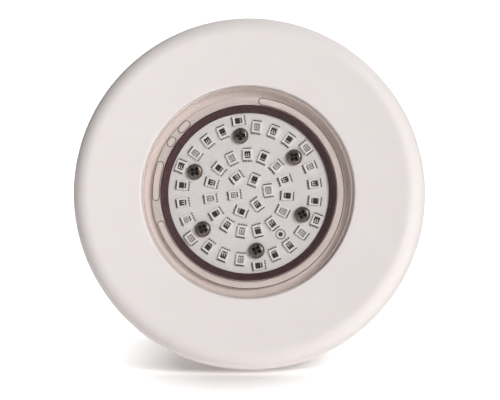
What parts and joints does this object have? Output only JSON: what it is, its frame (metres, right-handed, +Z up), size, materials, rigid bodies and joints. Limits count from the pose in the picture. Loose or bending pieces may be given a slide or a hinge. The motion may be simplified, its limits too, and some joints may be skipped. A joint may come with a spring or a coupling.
{
  "type": "underwater pool light",
  "caption": "Round pool light: a smooth white face ring round a clear lens over a round LED board, with a threaded stub behind that screws into a wall socket, and a cable gland.",
  "frame": {"origin": "where the light's axis meets the plane of the pool wall that the back of the flange seats on", "axes": "-Y out of the wall through the lens, +Y into the wall along the threaded stub, +Z up"},
  "size_m": [0.11, 0.0724, 0.11],
  "materials": {
    "ring_abs": "smooth warm white moulded ABS",
    "housing_abs": "warm white moulded ABS",
    "lens_clear": "clear polished polycarbonate",
    "sealant_clear": "clear silicone film",
    "rubber_dark": "matt black rubber",
    "board_white": "white solder mask on an aluminium board",
    "led_red": "white package, dark window",
    "led_green": "white package, dark window",
    "led_blue": "white package, pale window",
    "screw_steel": "dull stainless steel",
    "pad_grey": "grey silicone thermal pad",
    "sink_aluminium": "turned aluminium",
    "standoff_brass": "nickel-free brass",
    "board_green": "green solder mask",
    "can_aluminium": "plain can",
    "ferrite": "ferrite",
    "chip_black": "moulded epoxy",
    "terminal_green": "moulded nylon",
    "plug_cream": "moulded nylon",
    "wire_insulation": "PVC insulation",
    "gland_nylon": "black nylon",
    "rubber_black": "matt black rubber"
  },
  "bodies": {
    "lamp": {"housing": "housing_abs", "neck_o_ring": "rubber_black", "lens": "lens_clear", "lens_sealant": "sealant_clear", "lens_gasket": "rubber_dark", "led_board": "board_white", "red_leds": "led_red", "green_leds": "led_green", "blue_leds": "led_blue", "board_screws": "screw_steel", "thermal_pad": "pad_grey", "heat_sink": "sink_aluminium", "standoffs": "standoff_brass", "driver_screws": "screw_steel", "driver_board": "board_green", "capacitors": "can_aluminium", "choke": "ferrite", "rectifier_diodes": "chip_black", "driver_chip": "chip_black", "power_transistors": "chip_black", "terminal_block": "terminal_green", "terminal_screws": "screw_steel", "led_connector": "plug_cream", "lead_wires": "wire_insulation", "gland_body": "gland_nylon", "gland_washer": "rubber_black", "gland_seal": "rubber_black"},
    "face_ring": {"face_ring": "ring_abs"},
    "slip_ring": {"gland_slip_ring": "gland_nylon"},
    "gland_nut": {"gland_nut": "gland_nylon"}
  },
  "joints": [
    {"name": "ring_twist", "type": "hinge", "parent": "lamp", "child": "face_ring", "pos_m": [0, 0, 0], "axis": [0, -1, 0], "range_deg": [0, 45]},
    {"name": "slip_ring_slide", "type": "slide", "parent": "lamp", "child": "slip_ring", "axis": [0, 1, 0], "range_m": [0, 0.006]},
    {"name": "gland_nut_turn", "type": "hinge", "parent": "slip_ring", "child": "gland_nut", "pos_m": [0, 0.05, 0], "axis": [0, 1, 0], "range_deg": [0, 1440]}
  ],
  "couplings": [
    {"joint": "slip_ring_slide", "follows": "gland_nut_turn", "m_per_rad": 0.00023873}
  ]
}
